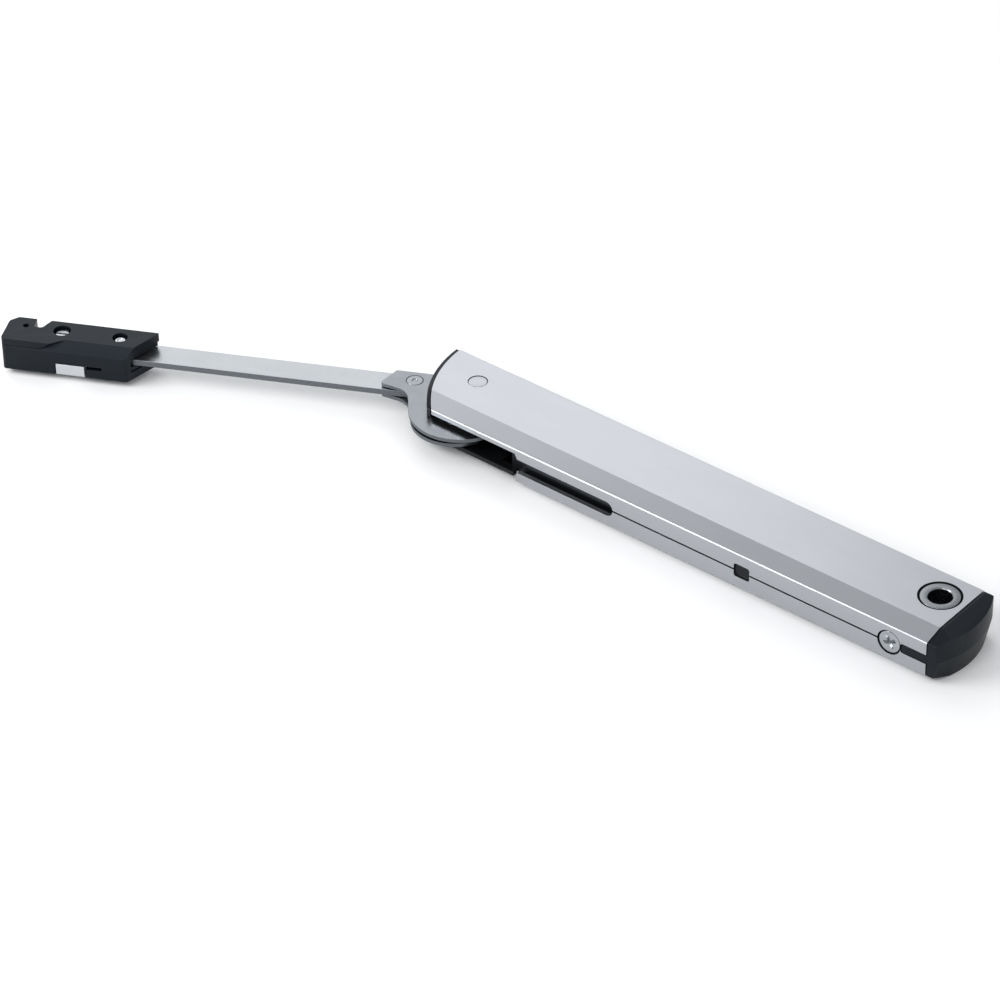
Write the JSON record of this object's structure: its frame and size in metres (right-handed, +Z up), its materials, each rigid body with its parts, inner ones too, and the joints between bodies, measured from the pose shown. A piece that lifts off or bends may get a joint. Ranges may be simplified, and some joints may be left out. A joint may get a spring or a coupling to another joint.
{
  "type": "door closer",
  "caption": "Slim link-arm door closer: flat two-shell body on a stud bush, folding double-plate lever, flat bar and hook-on bracket with a release latch.",
  "frame": {"origin": "on the lower shell's flat face, halfway between the bush axis and the lever pin axis", "axes": "+X along the body from the lever end to the bush end, +Z up through the thickness, the lever's side opening faces -Y"},
  "size_m": [0.3218, 0.0807, 0.0152],
  "materials": {
    "shell": "satin anodised, fine lengthwise brushing",
    "satin_steel": "satin",
    "bright_steel": "zinc plated, bright",
    "hard_steel": "hardened, dark",
    "spring_steel": "drawn wire",
    "brass": "machined",
    "black_plastic": "moulded, fine texture",
    "black_rubber": "matt"
  },
  "bodies": {
    "housing": {"upper_shell": "shell", "lower_shell": "shell", "upper_liner": "black_plastic", "lower_liner": "black_plastic", "end_cap": "black_plastic", "upper_bush_seal": "black_rubber", "lower_bush_seal": "black_rubber", "lever_pin": "bright_steel", "clamp_screw": "bright_steel", "screw_insert": "brass", "window_clip": "black_plastic", "closing_spring": "spring_steel", "spring_seat": "black_plastic", "damper_cylinder": "satin_steel", "damper_gland": "black_plastic", "damper_plug": "satin_steel", "anchor_block": "black_plastic"},
    "bush": {"pivot_bush": "satin_steel"},
    "lever": {"lever_upper_plate": "satin_steel", "lever_lower_plate": "satin_steel", "lever_rivet": "satin_steel", "lever_spacer": "hard_steel", "drive_pinion": "hard_steel"},
    "slider": {"rack": "hard_steel", "crosshead": "satin_steel", "rack_pin": "satin_steel", "spring_guide": "satin_steel", "damper_rod": "satin_steel", "damper_piston": "brass"},
    "link": {"link_bar": "satin_steel"},
    "bracket": {"bracket_body": "black_plastic", "bracket_upper_pad": "black_plastic", "bracket_lower_pad": "black_plastic", "bracket_rivet": "bright_steel", "bracket_set_screw": "bright_steel", "latch_spring": "spring_steel"},
    "latch": {"latch_plate": "bright_steel"}
  },
  "joints": [
    {"name": "bush_turn", "type": "hinge", "parent": "housing", "child": "bush", "pos_m": [0.085, 0, 0], "axis": [0, 0, 1], "continuous": true},
    {"name": "lever_swing", "type": "hinge", "parent": "housing", "child": "lever", "pos_m": [-0.085, 0, 0], "axis": [0, 0, 1], "range_deg": [-20, 62]},
    {"name": "rack_slide", "type": "slide", "parent": "housing", "child": "slider", "axis": [1, 0, 0], "range_m": [-0.0061, 0.002], "deforming": ["closing_spring"]},
    {"name": "link_turn", "type": "hinge", "parent": "lever", "child": "link", "pos_m": [-0.1051, -0.006, 0], "axis": [0, 0, 1], "range_deg": [-35, 78]},
    {"name": "bracket_turn", "type": "hinge", "parent": "link", "child": "bracket", "pos_m": [-0.18838, -0.04807, 0], "axis": [0, 0, 1], "range_deg": [-75, 0]},
    {"name": "latch_press", "type": "slide", "parent": "bracket", "child": "latch", "axis": [-0.4509, 0.8926, 0], "range_m": [0, 0.0012], "stiffness_N_per_m": 400, "deforming": ["latch_spring"]}
  ],
  "couplings": [
    {"joint": "rack_slide", "follows": "lever_swing", "m_per_rad": -0.0056}
  ]
}
